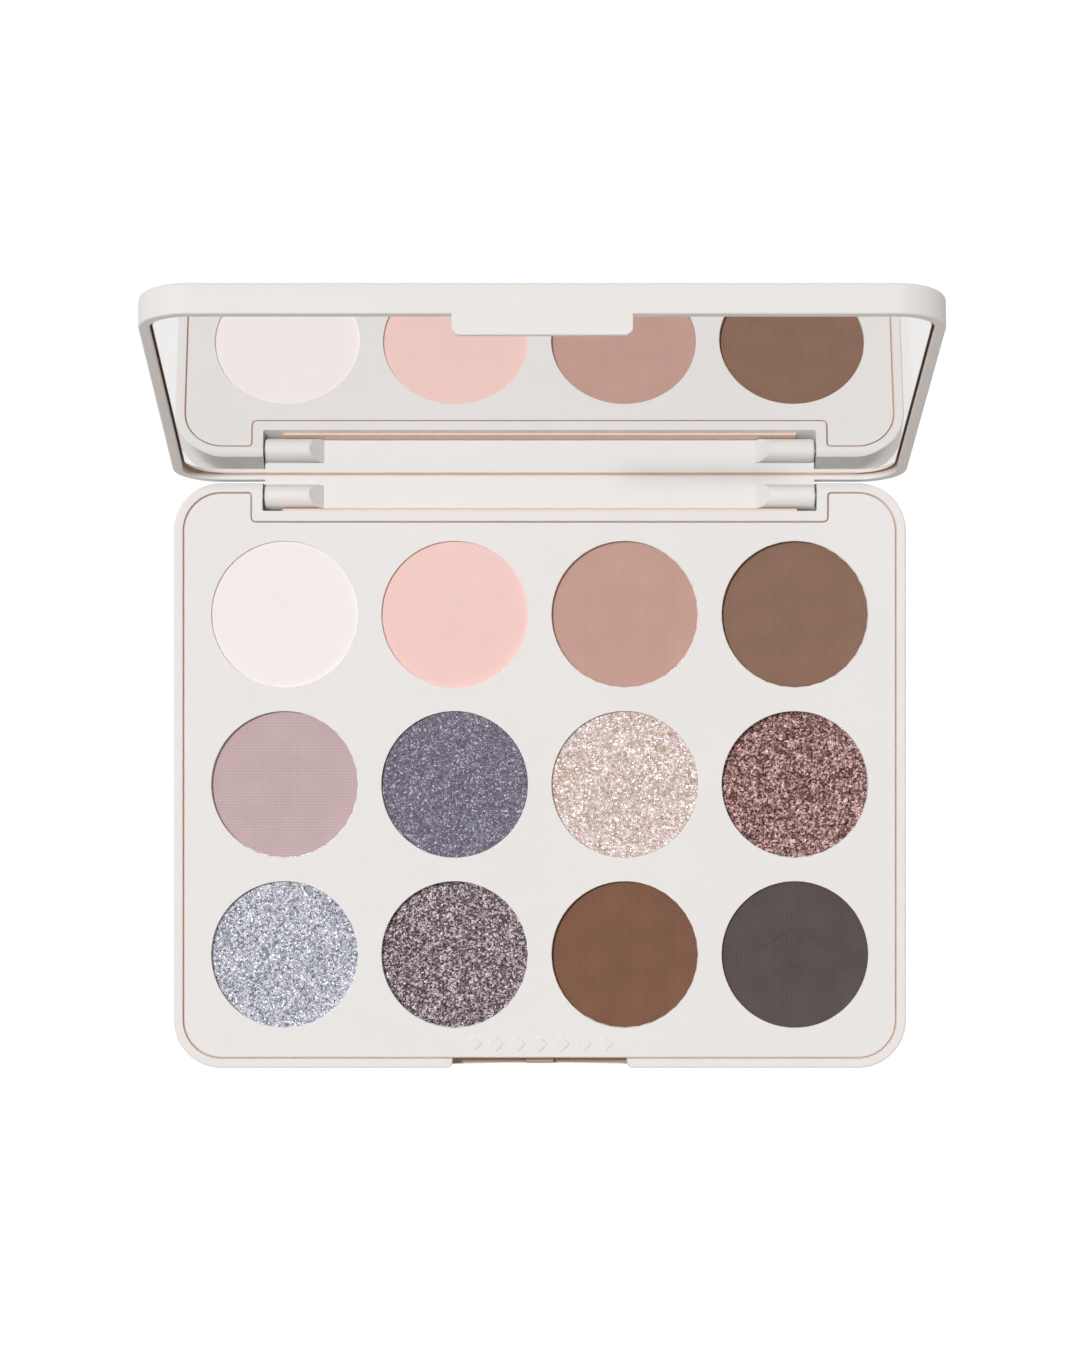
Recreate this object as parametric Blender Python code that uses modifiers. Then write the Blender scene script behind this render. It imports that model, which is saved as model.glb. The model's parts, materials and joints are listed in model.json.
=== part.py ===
"""A twelve-pan pressed-powder palette with a mirrored lid, as separate pieces at real size.

Frame: +X to the right, +Y towards the hinge, +Z up. The origin is the centre of the base's
underside. The lid stands open on its stop. Lengths are in metres.
"""

import math

import bmesh
import bpy
from mathutils import Matrix

MM = 0.001

# Outline shared by the base and the lid
WIDTH = 130.0 * MM
DEPTH = 103.85 * MM
CORNER_RADIUS = 8.55 * MM
RIM_WIDTH = 1.8 * MM
TRAY_INSET = 1.65 * MM
FRONT = -DEPTH / 2
REAR = DEPTH / 2

# Base shell
BASE_HEIGHT = 8.5 * MM
FLOOR_TOP = 1.3 * MM
BASE_EDGE_RADIUS = 1.8 * MM
SEAT_RADIUS = 11.5 * MM
SEAT_TOP = 3.85 * MM

# Hinge: the lid's barrels turn on two pins in a notch at the rear of the base
AXIS_INSET = 2.3 * MM
AXIS_BELOW_RIM = 2.9 * MM
AXIS_Y = REAR - AXIS_INSET
AXIS_Z = BASE_HEIGHT - AXIS_BELOW_RIM
OPEN_ANGLE = math.radians(103.0)
NOTCH_HALF_WIDTH = 49.2 * MM
NOTCH_DEPTH = 4.95 * MM
NOTCH_FLOOR = 2.4 * MM
NOTCH_WALL = 1.85 * MM
REAR_EDGE_SWEEP = 3.08 * MM
PIN_RADIUS = 0.75 * MM
PIN_BORE_RADIUS = 0.85 * MM
PIN_OUTER_END = 51.0 * MM
PIN_INNER_END = 42.0 * MM
BORE_END_GAP = 0.3 * MM

# Latch: the lid's tab drops into a notch in the base's front wall
LATCH_NOTCH_HALF_WIDTH = 15.5 * MM
LATCH_LEDGE = 2.6 * MM
FINGER_RECESS_DEPTH = 0.8 * MM
CATCH_WIDTH = 4.9 * MM
CATCH_LOW = 3.2 * MM
CATCH_HIGH = 4.4 * MM
CATCH_TIP_INSET = 0.55 * MM

# Face plate
PLATE_GAP = 0.25 * MM
PLATE_TOP = 8.4 * MM
PLATE_THICKNESS = 0.8 * MM
SKIRT_THICKNESS = 1.2 * MM
SKIRT_BOTTOM = 1.6 * MM
STEP_CORNER_RADIUS = 0.7 * MM
APERTURE_RADIUS = 13.0 * MM
APERTURE_PITCH = 30.2 * MM
COLUMNS = 4
ROWS = 3
MIDDLE_ROW_Y = -1.6 * MM

# Pans, powder cakes and the pads under them
PAN_RADIUS = 13.3 * MM
PAN_WALL = 0.3 * MM
PAN_BOTTOM = 4.25 * MM
PAN_TOP = 7.45 * MM
POWDER_RADIUS = 12.85 * MM
POWDER_EDGE_RADIUS = 0.15 * MM
PAD_RADIUS = 9.0 * MM
BOND_GAP = 0.05 * MM

# Lid, in the pivot's frame: as if closed, with the hinge axis as the origin
CLOSED_GAP = 0.3 * MM
LID_THICKNESS = 5.4 * MM
LID_RIM = AXIS_BELOW_RIM + CLOSED_GAP
LID_BACK = LID_RIM + LID_THICKNESS
LID_REAR = AXIS_INSET
LID_FRONT = AXIS_INSET - DEPTH
LID_EDGE_RADIUS = 0.9 * MM
MIRROR_RECESS = 1.0 * MM
MIRROR_THICKNESS = 1.5 * MM
MIRROR_GAP = 0.25 * MM
MIRROR_CORNER_RADIUS = 8.2 * MM
MIRROR_FOAM_THICKNESS = 0.8 * MM
MIRROR_FOAM_MARGIN = 3.0 * MM
BARREL_RADIUS = 2.1 * MM
BARREL_OUTER_END = 48.95 * MM
BARREL_INNER_END = 41.0 * MM
APRON_CORNER_SWEEP = 2.5 * MM
TAB_HALF_WIDTH = 14.5 * MM
TAB_LENGTH = 3.5 * MM
TAB_THICKNESS = 1.0 * MM
TAB_INSET = 0.05 * MM
TAB_CORNER_RADIUS = 1.45 * MM

# Fineness of round shapes
CORNER_STEPS = 8
SMALL_CORNER_STEPS = 4
APERTURE_SIDES = 48
PAN_SIDES = 32
PAD_SIDES = 24
BARREL_SIDES = 32
PIN_SIDES = 24
EDGE_SEGMENTS = 3

# How far a cutter passes a face that it cuts, and how close two heights count as one
OVERSHOOT = 1.0 * MM
TOLERANCE = 0.001 * MM

# Each finish: colour, roughness, metallic value
FINISHES = {
    "ivory_plastic": ((0.83, 0.80, 0.77), 0.42, 0.0),
    "pan_metal": ((0.70, 0.70, 0.71), 0.35, 1.0),
    "pin_steel": ((0.62, 0.62, 0.63), 0.25, 1.0),
    "adhesive": ((0.75, 0.73, 0.68), 0.80, 0.0),
    "mirror_glass": ((0.92, 0.93, 0.93), 0.02, 1.0),
    "powder_shell": ((0.90, 0.83, 0.81), 0.80, 0.0),
    "powder_blush": ((0.87, 0.60, 0.56), 0.80, 0.0),
    "powder_taupe": ((0.55, 0.34, 0.28), 0.80, 0.0),
    "powder_cocoa": ((0.26, 0.15, 0.11), 0.80, 0.0),
    "powder_mauve": ((0.56, 0.41, 0.42), 0.80, 0.0),
    "powder_slate": ((0.20, 0.18, 0.24), 0.70, 0.1),
    "powder_champagne": ((0.68, 0.57, 0.54), 0.45, 0.5),
    "powder_copper": ((0.32, 0.21, 0.20), 0.45, 0.5),
    "powder_silver": ((0.47, 0.48, 0.54), 0.45, 0.5),
    "powder_plum": ((0.28, 0.23, 0.26), 0.45, 0.5),
    "powder_chestnut": ((0.22, 0.11, 0.07), 0.80, 0.0),
    "powder_aubergine": ((0.11, 0.08, 0.09), 0.80, 0.0),
}

# The powders row by row, from the hinge to the front, each row from left to right
SHADES = (
    ("shell", "blush", "taupe", "cocoa"),
    ("mauve", "slate", "champagne", "copper"),
    ("silver", "plum", "chestnut", "aubergine"),
)

# How far each powder's face lies below the face plate's top, in the same order
POWDER_DEPTHS = (
    (0.5 * MM, 0.7 * MM, 1.1 * MM, 1.4 * MM),
    (1.1 * MM, 0.8 * MM, 0.8 * MM, 1.7 * MM),
    (1.0 * MM, 1.6 * MM, 1.4 * MM, 0.9 * MM),
)


def clear_scene():
    for old in list(bpy.data.objects):
        bpy.data.objects.remove(old, do_unlink=True)


def collection(name):
    made = bpy.data.collections.new(name)
    bpy.context.scene.collection.children.link(made)
    return made


def material(name, colour, roughness, metallic):
    made = bpy.data.materials.new(name)
    made.use_nodes = True
    shader = made.node_tree.nodes["Principled BSDF"]
    shader.inputs["Base Color"].default_value = (*colour, 1.0)
    shader.inputs["Roughness"].default_value = roughness
    shader.inputs["Metallic"].default_value = metallic
    return made


def add_part(name, mesh, finish, parent=None, location=(0.0, 0.0, 0.0)):
    """A named piece of the palette, with its material and its parent."""
    obj = bpy.data.objects.new(name, mesh)
    obj.location = location
    obj.parent = parent
    PARTS.objects.link(obj)
    if not mesh.materials:
        mesh.materials.append(None)
    slot = obj.material_slots[0]
    slot.link = "OBJECT"
    slot.material = finish
    return obj


def add_boolean(target, mesh, operation, label):
    """Cuts a mesh from a piece, or joins it on, keeping it as a hidden helper object."""
    helper = bpy.data.objects.new(f"{label}_helper", mesh)
    helper.parent = target.parent
    helper.hide_render = True
    helper.display_type = "WIRE"
    HELPERS.objects.link(helper)
    modifier = target.modifiers.new(label, "BOOLEAN")
    modifier.operation = operation
    modifier.object = helper


def arc(centre, radius, start, end, steps):
    """Points on an arc from one angle to another, both ends included."""
    return [
        (
            centre[0] + radius * math.cos(start + (end - start) * i / steps),
            centre[1] + radius * math.sin(start + (end - start) * i / steps),
        )
        for i in range(steps + 1)
    ]


def filleted(corners, steps):
    """An outline through corners (x, y, radius), each square corner rounded by its radius."""
    outline = []
    for i, (x, y, radius) in enumerate(corners):
        before = corners[i - 1]
        after = corners[(i + 1) % len(corners)]
        if radius <= 0.0:
            outline.append((x, y))
            continue
        arrive = math.atan2(y - before[1], x - before[0])
        leave = math.atan2(after[1] - y, after[0] - x)
        turn = 1.0 if math.sin(leave - arrive) > 0.0 else -1.0
        centre = (
            x - radius * math.cos(arrive) + radius * math.cos(leave),
            y - radius * math.sin(arrive) + radius * math.sin(leave),
        )
        start = arrive - turn * math.pi / 2
        outline += arc(centre, radius, start, start + turn * math.pi / 2, steps)
    return outline


def rectangle(left, right, low, high, radius):
    """A rounded rectangle, anticlockwise."""
    return filleted(
        [(left, low, radius), (right, low, radius), (right, high, radius), (left, high, radius)],
        CORNER_STEPS,
    )


def extruded(outline, low, high):
    """A flat outline in X and Y, made solid from one height to another."""
    curve = bpy.data.curves.new("outline", "CURVE")
    curve.dimensions = "2D"
    curve.fill_mode = "BOTH"
    curve.extrude = (high - low) / 2
    spline = curve.splines.new("POLY")
    spline.points.add(len(outline) - 1)
    for point, (x, y) in zip(spline.points, outline):
        point.co = (x, y, 0.0, 1.0)
    spline.use_cyclic_u = True
    flat = bpy.data.objects.new("outline", curve)
    HELPERS.objects.link(flat)
    graph = bpy.context.evaluated_depsgraph_get()
    mesh = bpy.data.meshes.new_from_object(flat.evaluated_get(graph))
    bpy.data.objects.remove(flat)
    bpy.data.curves.remove(curve)
    mesh.transform(Matrix.Translation((0.0, 0.0, (low + high) / 2)))
    shape = bmesh.new()
    shape.from_mesh(mesh)
    bmesh.ops.remove_doubles(shape, verts=shape.verts, dist=TOLERANCE)
    bmesh.ops.recalc_face_normals(shape, faces=shape.faces)
    shape.to_mesh(mesh)
    shape.free()
    return mesh


def extruded_across(outline, left, right):
    """An outline in Y and Z, made solid from one X to another."""
    mesh = extruded(outline, left, right)
    mesh.transform(Matrix(((0, 0, 1, 0), (1, 0, 0, 0), (0, 1, 0, 0), (0, 0, 0, 1))))
    return mesh


def extruded_back(outline, front, rear):
    """An outline in X and Z, made solid from one Y to another."""
    mesh = extruded(outline, -rear, -front)
    mesh.transform(Matrix.Rotation(math.pi / 2, 4, "X"))
    return mesh


def box(low, high):
    """A block between two opposite corners."""
    shape = bmesh.new()
    bmesh.ops.create_cube(shape, size=1.0)
    size = [b - a for a, b in zip(low, high)]
    centre = [(a + b) / 2 for a, b in zip(low, high)]
    fit = Matrix.Translation(centre) @ Matrix.Diagonal((*size, 1.0))
    bmesh.ops.transform(shape, matrix=fit, verts=shape.verts)
    return finished(shape, "box")


def add_disc(shape, radius, low, high, sides, centre=(0.0, 0.0)):
    """Adds an upright cylinder to a shape, and returns its points."""
    fit = Matrix.Translation((centre[0], centre[1], (low + high) / 2))
    made = bmesh.ops.create_cone(
        shape, cap_ends=True, segments=sides, radius1=radius, radius2=radius,
        depth=high - low, matrix=fit,
    )
    return made["verts"]


def rod(radius, left, right, sides):
    """A cylinder along X, on the hinge axis of the frame that it is made in."""
    shape = bmesh.new()
    add_disc(shape, radius, left, right, sides)
    turn = Matrix.Rotation(math.pi / 2, 4, "Y")
    bmesh.ops.transform(shape, matrix=turn, verts=shape.verts)
    return finished(shape, "rod")


def finished(shape, name):
    """Turns a bmesh into a mesh whose faces point out."""
    bmesh.ops.recalc_face_normals(shape, faces=shape.faces)
    mesh = bpy.data.meshes.new(name)
    shape.to_mesh(mesh)
    shape.free()
    return mesh


def round_edges_at(mesh, height, radius, segments):
    """Rounds the outer edges that lie at one height."""
    shape = bmesh.new()
    shape.from_mesh(mesh)
    edges = [
        edge for edge in shape.edges
        if all(abs(vert.co.z - height) < TOLERANCE for vert in edge.verts)
        and any(abs(face.normal.z) < 0.5 for face in edge.link_faces)
    ]
    bmesh.ops.bevel(
        shape, geom=edges, offset=radius, segments=segments, profile=0.5, affect="EDGES"
    )
    shape.to_mesh(mesh)
    shape.free()


def shade(mesh):
    mesh.shade_smooth()
    mesh.set_sharp_from_angle(angle=math.radians(30.0))


def grid():
    """Each aperture as its row, its column and its centre, with row 1 nearest the hinge."""
    for row in range(ROWS):
        y = MIDDLE_ROW_Y + (1 - row) * APERTURE_PITCH
        for column in range(COLUMNS):
            x = (column - (COLUMNS - 1) / 2) * APERTURE_PITCH
            yield row + 1, column + 1, (x, y)


def discs_on_grid(radius, low, high, sides):
    shape = bmesh.new()
    for _, _, centre in grid():
        add_disc(shape, radius, low, high, sides, centre)
    return finished(shape, "discs")


def tray_outline(inset):
    """The outline inside the base's rim, stepped round the hinge notch, drawn in by an inset."""
    side = WIDTH / 2 - TRAY_INSET - inset
    front = FRONT + TRAY_INSET + inset
    rear = REAR - TRAY_INSET - inset
    step_x = NOTCH_HALF_WIDTH + NOTCH_WALL + inset
    step_y = REAR - NOTCH_DEPTH - NOTCH_WALL - inset
    radius = CORNER_RADIUS - TRAY_INSET - inset
    small = STEP_CORNER_RADIUS
    return filleted(
        [
            (-side, front, radius), (side, front, radius), (side, rear, radius),
            (step_x, rear, small), (step_x, step_y, small),
            (-step_x, step_y, small), (-step_x, rear, small), (-side, rear, radius),
        ],
        CORNER_STEPS,
    )


def rear_edge_cutter():
    """Rounds the base's rear top edge about the hinge axis, so that the lid's rim swings past."""
    start = math.asin(AXIS_BELOW_RIM / REAR_EDGE_SWEEP)
    end = math.acos(AXIS_INSET / REAR_EDGE_SWEEP)
    outline = arc((AXIS_Y, AXIS_Z), REAR_EDGE_SWEEP, start, end, SMALL_CORNER_STEPS)
    top = BASE_HEIGHT + OVERSHOOT
    back = REAR + OVERSHOOT
    outline += [(back, outline[-1][1]), (back, top), (outline[0][0], top)]
    half = WIDTH / 2 + OVERSHOOT
    return extruded_across(outline, -half, half)


def make_base_shell(finish):
    outline = rectangle(-WIDTH / 2, WIDTH / 2, FRONT, REAR, CORNER_RADIUS)
    body = extruded(outline, 0.0, BASE_HEIGHT)
    round_edges_at(body, 0.0, BASE_EDGE_RADIUS, EDGE_SEGMENTS)
    base = add_part("base_shell", body, finish)
    above = BASE_HEIGHT + OVERSHOOT
    add_boolean(base, extruded(tray_outline(0.0), FLOOR_TOP, above), "DIFFERENCE", "tray")
    seats = discs_on_grid(SEAT_RADIUS, FLOOR_TOP / 2, SEAT_TOP, PAN_SIDES)
    add_boolean(base, seats, "UNION", "seats")
    notch = box(
        (-NOTCH_HALF_WIDTH, REAR - NOTCH_DEPTH, NOTCH_FLOOR),
        (NOTCH_HALF_WIDTH, REAR + OVERSHOOT, above),
    )
    add_boolean(base, notch, "DIFFERENCE", "hinge_notch")
    add_boolean(base, rear_edge_cutter(), "DIFFERENCE", "rear_edge")
    latch_notch = box(
        (-LATCH_NOTCH_HALF_WIDTH, FRONT - OVERSHOOT, LATCH_LEDGE),
        (LATCH_NOTCH_HALF_WIDTH, FRONT + TRAY_INSET + PLATE_GAP / 2, above),
    )
    add_boolean(base, latch_notch, "DIFFERENCE", "latch_notch")
    recess = box(
        (-LATCH_NOTCH_HALF_WIDTH, FRONT - OVERSHOOT, -OVERSHOOT),
        (LATCH_NOTCH_HALF_WIDTH, FRONT + FINGER_RECESS_DEPTH, LATCH_LEDGE + OVERSHOOT),
    )
    add_boolean(base, recess, "DIFFERENCE", "finger_recess")
    bores = rod(
        PIN_BORE_RADIUS, -PIN_OUTER_END - OVERSHOOT, PIN_OUTER_END + OVERSHOOT, PIN_SIDES
    )
    bores.transform(Matrix.Translation((0.0, AXIS_Y, AXIS_Z)))
    add_boolean(base, bores, "DIFFERENCE", "pin_bores")


def make_face_plate(finish):
    plate = add_part("face_plate", extruded(tray_outline(PLATE_GAP), SKIRT_BOTTOM, PLATE_TOP), finish)
    underside = extruded(
        tray_outline(PLATE_GAP + SKIRT_THICKNESS),
        SKIRT_BOTTOM - OVERSHOOT, PLATE_TOP - PLATE_THICKNESS,
    )
    add_boolean(plate, underside, "DIFFERENCE", "plate_underside")
    holes = discs_on_grid(
        APERTURE_RADIUS, PLATE_TOP - PLATE_THICKNESS - OVERSHOOT, PLATE_TOP + OVERSHOOT,
        APERTURE_SIDES,
    )
    add_boolean(plate, holes, "DIFFERENCE", "apertures")
    catch = box(
        (-CATCH_WIDTH / 2, FRONT + CATCH_TIP_INSET, CATCH_LOW),
        (CATCH_WIDTH / 2, FRONT + TRAY_INSET + SKIRT_THICKNESS, CATCH_HIGH),
    )
    add_boolean(plate, catch, "UNION", "catch")


def pan_mesh():
    """A stamped round pan, as an open surface turned solid."""
    shape = bmesh.new()
    add_disc(shape, PAN_RADIUS, PAN_BOTTOM, PAN_TOP, PAN_SIDES)
    top = [face for face in shape.faces if face.calc_center_median().z > PAN_TOP - TOLERANCE]
    bmesh.ops.delete(shape, geom=top, context="FACES_ONLY")
    mesh = bpy.data.meshes.new("pan")
    shape.to_mesh(mesh)
    shape.free()
    return mesh


def powder_mesh(depth):
    """A pressed cake whose face lies at a depth below the plate, with a softened top edge."""
    shape = bmesh.new()
    top = PLATE_TOP - depth
    add_disc(shape, POWDER_RADIUS, PAN_BOTTOM + PAN_WALL + BOND_GAP, top, PAN_SIDES)
    mesh = finished(shape, "powder")
    round_edges_at(mesh, top, POWDER_EDGE_RADIUS, 1)
    shade(mesh)
    return mesh


def pad_mesh():
    """The adhesive pad between a pan and its seat."""
    shape = bmesh.new()
    add_disc(shape, PAD_RADIUS, SEAT_TOP + BOND_GAP, PAN_BOTTOM - BOND_GAP, PAD_SIDES)
    return finished(shape, "pad")


def make_pans_and_powders(finishes):
    pan = pan_mesh()
    pad = pad_mesh()
    for mesh in (pan, pad):
        shade(mesh)
    for row, column, centre in grid():
        place = f"row{row}_col{column}"
        location = (*centre, 0.0)
        finish = finishes["powder_" + SHADES[row - 1][column - 1]]
        powder = powder_mesh(POWDER_DEPTHS[row - 1][column - 1])
        add_part(f"powder_{place}", powder, finish, location=location)
        add_part(f"pan_adhesive_{place}", pad, finishes["adhesive"], location=location)
        pan_part = add_part(f"pan_{place}", pan, finishes["pan_metal"], location=location)
        wall = pan_part.modifiers.new("wall", "SOLIDIFY")
        wall.thickness = PAN_WALL
        wall.offset = -1.0
        wall.use_even_offset = True


def make_hinge_pins(steel):
    for side, name in ((-1.0, "hinge_pin_left"), (1.0, "hinge_pin_right")):
        ends = sorted((side * PIN_INNER_END, side * PIN_OUTER_END))
        pin = rod(PIN_RADIUS, ends[0], ends[1], PIN_SIDES)
        shade(pin)
        add_part(name, pin, steel, location=(0.0, AXIS_Y, AXIS_Z))


def apron_mesh():
    """The lid's rear wall carried down into the notch, its lower rear corner rounded."""
    inner = LID_REAR - RIM_WIDTH
    low = -BARREL_RADIUS
    start = math.atan2(low, math.sqrt(APRON_CORNER_SWEEP**2 - low**2))
    end = -math.acos(LID_REAR / APRON_CORNER_SWEEP)
    corner = arc((0.0, 0.0), APRON_CORNER_SWEEP, start, end, SMALL_CORNER_STEPS)
    top = LID_RIM + MIRROR_RECESS / 2
    outline = [(inner, low), *corner, (LID_REAR, top), (inner, top)]
    return extruded_across(outline, -BARREL_OUTER_END, BARREL_OUTER_END)


def barrel_mesh(side):
    """A hinge barrel whose inner end slopes down to the apron at 45 degrees."""
    ends = sorted((side * BARREL_INNER_END, side * BARREL_OUTER_END))
    mesh = rod(BARREL_RADIUS, ends[0], ends[1], BARREL_SIDES)
    for vert in mesh.vertices:
        if abs(vert.co.x) < BARREL_OUTER_END - OVERSHOOT:
            vert.co.x -= side * (vert.co.y + BARREL_RADIUS)
    return mesh


def make_lid_shell(finish, pivot):
    outline = rectangle(-WIDTH / 2, WIDTH / 2, LID_FRONT, LID_REAR, CORNER_RADIUS)
    body = extruded(outline, LID_RIM, LID_BACK)
    round_edges_at(body, LID_BACK, LID_EDGE_RADIUS, EDGE_SEGMENTS)
    lid = add_part("lid_shell", body, finish, pivot)
    pocket_top = LID_RIM + MIRROR_RECESS + MIRROR_THICKNESS + MIRROR_FOAM_THICKNESS + 2 * BOND_GAP
    pocket = extruded(
        rectangle(
            RIM_WIDTH - WIDTH / 2, WIDTH / 2 - RIM_WIDTH,
            LID_FRONT + RIM_WIDTH, LID_REAR - RIM_WIDTH, CORNER_RADIUS - RIM_WIDTH,
        ),
        LID_RIM - OVERSHOOT, pocket_top,
    )
    add_boolean(lid, pocket, "DIFFERENCE", "mirror_pocket")
    add_boolean(lid, apron_mesh(), "UNION", "apron")
    for side, label in ((-1.0, "left_barrel"), (1.0, "right_barrel")):
        add_boolean(lid, barrel_mesh(side), "UNION", label)
        ends = sorted((side * (PIN_INNER_END - BORE_END_GAP), side * (PIN_OUTER_END + OVERSHOOT)))
        bore = rod(PIN_BORE_RADIUS, ends[0], ends[1], PIN_SIDES)
        add_boolean(lid, bore, "DIFFERENCE", f"{label}_bore")
    tab_outline = filleted(
        [
            (-TAB_HALF_WIDTH, LID_RIM - TAB_LENGTH, TAB_CORNER_RADIUS),
            (TAB_HALF_WIDTH, LID_RIM - TAB_LENGTH, TAB_CORNER_RADIUS),
            (TAB_HALF_WIDTH, LID_RIM + MIRROR_RECESS, 0.0),
            (-TAB_HALF_WIDTH, LID_RIM + MIRROR_RECESS, 0.0),
        ],
        SMALL_CORNER_STEPS,
    )
    tab_front = LID_FRONT + TAB_INSET
    tab = extruded_back(tab_outline, tab_front, tab_front + TAB_THICKNESS)
    add_boolean(lid, tab, "UNION", "tab")


def make_mirror(glass, adhesive, pivot):
    margin = RIM_WIDTH + MIRROR_GAP
    low = LID_RIM + MIRROR_RECESS
    high = low + MIRROR_THICKNESS
    outline = rectangle(
        margin - WIDTH / 2, WIDTH / 2 - margin,
        LID_FRONT + margin, LID_REAR - margin, MIRROR_CORNER_RADIUS,
    )
    add_part("mirror", extruded(outline, low, high), glass, pivot)
    margin += MIRROR_FOAM_MARGIN
    foam = rectangle(
        margin - WIDTH / 2, WIDTH / 2 - margin,
        LID_FRONT + margin, LID_REAR - margin, MIRROR_CORNER_RADIUS - MIRROR_FOAM_MARGIN,
    )
    foam_low = high + BOND_GAP
    add_part(
        "mirror_adhesive", extruded(foam, foam_low, foam_low + MIRROR_FOAM_THICKNESS),
        adhesive, pivot,
    )


def make_pivot():
    """The empty on the hinge axis that carries the lid, turned to the open stop."""
    pivot = bpy.data.objects.new("lid_pivot", None)
    pivot.empty_display_size = 10.0 * MM
    pivot.location = (0.0, AXIS_Y, AXIS_Z)
    pivot.rotation_euler = (-OPEN_ANGLE, 0.0, 0.0)
    PARTS.objects.link(pivot)
    return pivot


def make_palette():
    finishes = {name: material(name, *values) for name, values in FINISHES.items()}
    pivot = make_pivot()
    make_base_shell(finishes["ivory_plastic"])
    make_face_plate(finishes["ivory_plastic"])
    make_pans_and_powders(finishes)
    make_hinge_pins(finishes["pin_steel"])
    make_lid_shell(finishes["ivory_plastic"], pivot)
    make_mirror(finishes["mirror_glass"], finishes["adhesive"], pivot)


clear_scene()
PARTS = collection("eyeshadow_palette")
HELPERS = collection("cutters_and_joiners")
make_palette()
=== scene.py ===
"""Looks for the eyeshadow palette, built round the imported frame. Lengths are in metres."""

import json
import math

import bmesh
import bpy
from mathutils import Matrix, Vector, noise


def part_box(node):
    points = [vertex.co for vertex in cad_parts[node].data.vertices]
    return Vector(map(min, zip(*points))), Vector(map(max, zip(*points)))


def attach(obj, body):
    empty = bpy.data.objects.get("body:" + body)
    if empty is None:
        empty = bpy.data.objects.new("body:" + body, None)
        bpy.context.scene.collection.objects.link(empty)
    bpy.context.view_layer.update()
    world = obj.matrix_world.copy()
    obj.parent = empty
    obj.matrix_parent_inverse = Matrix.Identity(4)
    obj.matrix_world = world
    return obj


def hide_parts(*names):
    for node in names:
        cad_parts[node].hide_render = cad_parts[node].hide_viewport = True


MM = 0.001

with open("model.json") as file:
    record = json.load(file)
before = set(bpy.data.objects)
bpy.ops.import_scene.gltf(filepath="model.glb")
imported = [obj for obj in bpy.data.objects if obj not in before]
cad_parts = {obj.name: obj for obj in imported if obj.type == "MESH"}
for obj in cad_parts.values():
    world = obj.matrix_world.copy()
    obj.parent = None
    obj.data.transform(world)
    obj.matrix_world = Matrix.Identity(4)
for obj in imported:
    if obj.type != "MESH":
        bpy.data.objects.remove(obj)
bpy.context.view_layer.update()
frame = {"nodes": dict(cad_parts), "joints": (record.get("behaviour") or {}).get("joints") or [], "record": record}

# The frame's own places
BASE_LOW, BASE_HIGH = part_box("base_shell")
PLATE_LOW, PLATE_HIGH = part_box("face_plate")
HINGE = frame["joints"][0]
AXIS = Vector(HINGE["pos_m"])
OPEN_ANGLE = math.radians(HINGE["range_deg"][1])
LID_TO_ROW = Matrix.Translation(AXIS) @ Matrix.Rotation(-OPEN_ANGLE, 4, "X")


def lid_box(node):
    """A node's lowest and highest corners in the lid's frame: closed, from the hinge axis."""
    to_lid = LID_TO_ROW.inverted()
    points = [to_lid @ vert.co for vert in frame["nodes"][node].data.vertices]
    low = Vector([min(point[i] for point in points) for i in range(3)])
    high = Vector([max(point[i] for point in points) for i in range(3)])
    return low, high


LID_LOW, LID_HIGH = lid_box("lid_shell")
MIRROR_LOW, MIRROR_HIGH = lid_box("mirror")

# Base and lid
LEFT, FRONT, BOTTOM = BASE_LOW
RIGHT, REAR, RIM = BASE_HIGH
CORNER_RADIUS = 8.55 * MM
LID_GAP = 0.3 * MM
RIM_WIDTH = 1.8 * MM
TRAY_INSET = 1.65 * MM
EDGE_RADIUS = 0.3 * MM
INNER_EDGE_RADIUS = 0.14 * MM
BASE_EDGE_RADIUS = 1.8 * MM
FLOOR_TOP = 1.3 * MM
SEAT_RADIUS = 11.5 * MM
SEAT_TOP = 3.85 * MM
SEAT_EDGE_RADIUS = 0.2 * MM

# Hinge
NOTCH_HALF_WIDTH = 49.2 * MM
NOTCH_DEPTH = 4.95 * MM
NOTCH_FLOOR = 2.4 * MM
NOTCH_WALL = 1.85 * MM
NOTCH_CORNER_RADIUS = 0.3 * MM
SILL_HALF_WIDTH = 45.7 * MM
SILL_WIDTH = 0.38 * MM
SILL_DEPTH = 1.2 * MM
SILL_SINK = 0.1 * MM
REAR_EDGE_SWEEP = 3.08 * MM
PIN_BORE_RADIUS = 0.85 * MM
PIN_INNER_END = 41.7 * MM
BARREL_RADIUS = 2.1 * MM
BARREL_OUTER_END = 48.95 * MM
BARREL_INNER_END = 41.0 * MM
BARREL_END_RADIUS = 0.5 * MM
APRON_CORNER_SWEEP = 2.5 * MM
APRON_TOE_RADIUS = 0.12 * MM
APRON_SINK = 0.5 * MM

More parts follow.
